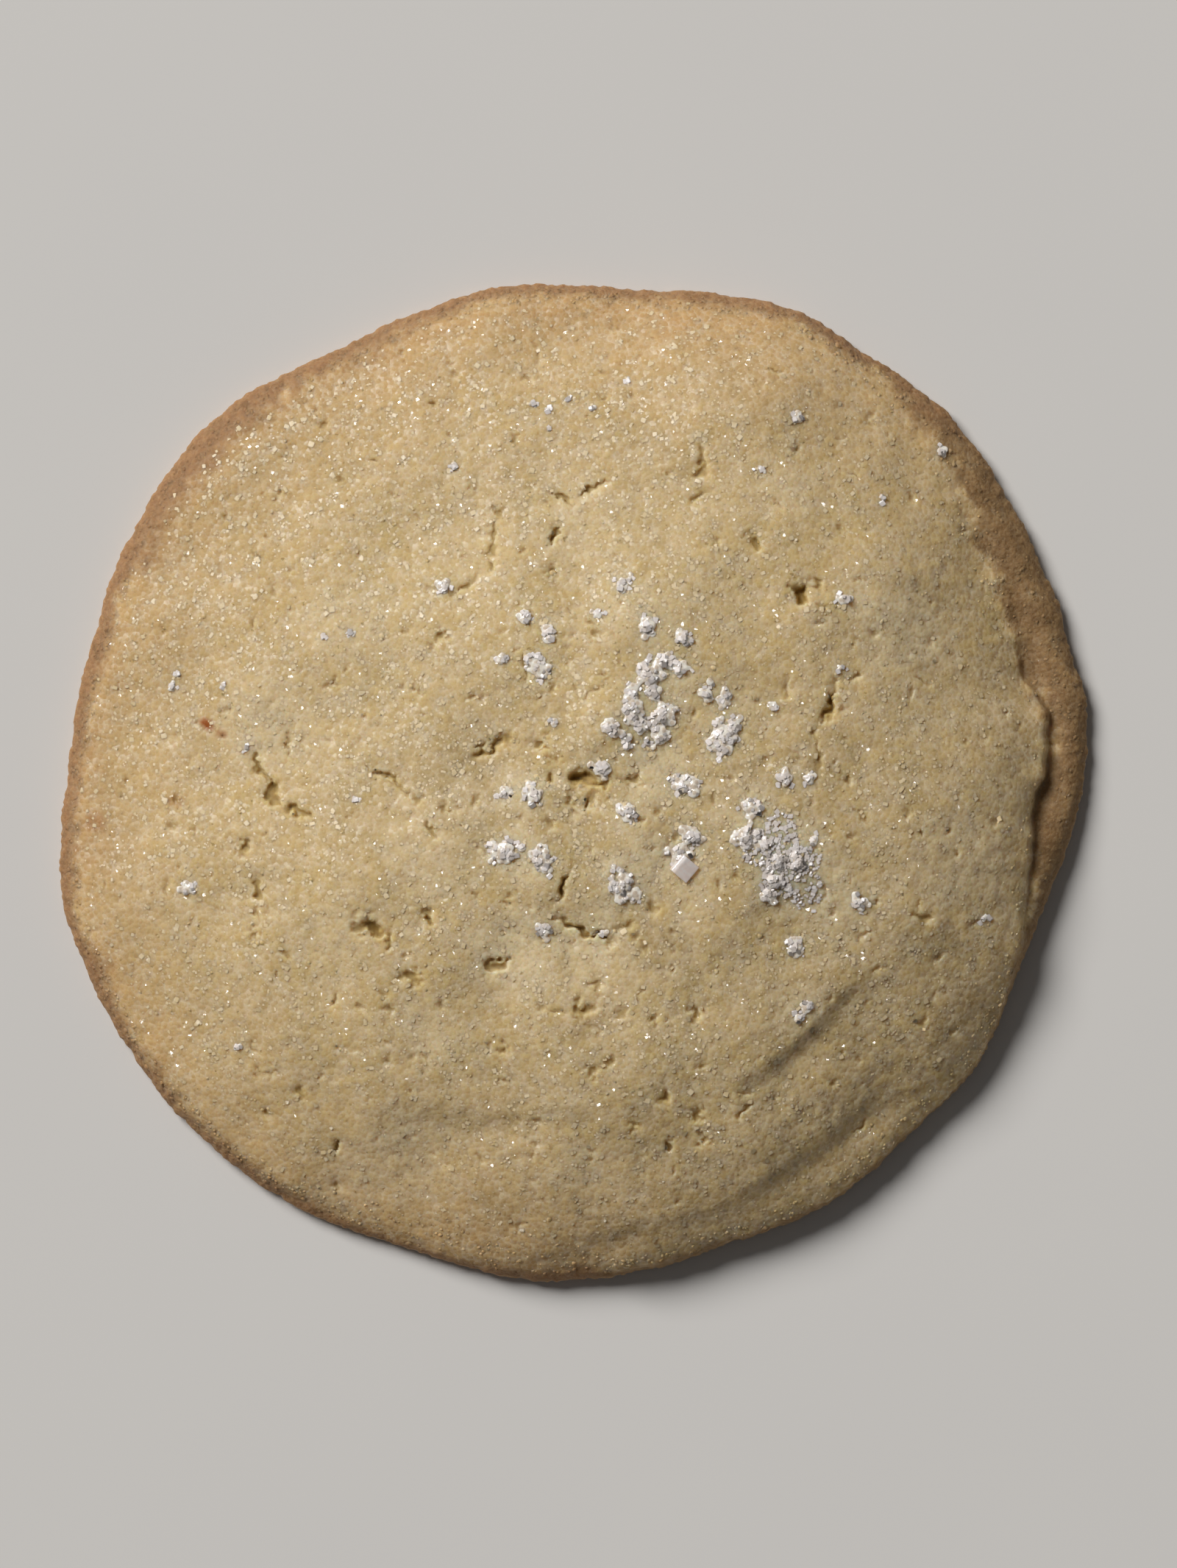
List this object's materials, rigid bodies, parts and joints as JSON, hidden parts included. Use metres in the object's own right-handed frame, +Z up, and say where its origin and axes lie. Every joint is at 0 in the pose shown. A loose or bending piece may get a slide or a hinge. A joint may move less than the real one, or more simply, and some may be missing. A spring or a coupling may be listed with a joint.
{
  "type": "sugar cookie",
  "caption": "Round domed sugar cookie with a cracked, sugar-dusted crust, a thin browned edge and a flat underside to rest on.",
  "frame": {"origin": "middle of the cookie's outline, on the flat underside", "axes": "+Z up through the dome, +X and +Y to the right and to the far side of the cookie as it is seen from above"},
  "size_m": [0.08, 0.0776, 0.0113],
  "materials": {
    "crumb": "matte, finely grained baked dough, butter beige with a golden brown edge",
    "sugar": "clear to frosted white granulated sugar crystals"
  },
  "bodies": {
    "root": {"cookie": "crumb"}
  },
  "joints": []
}
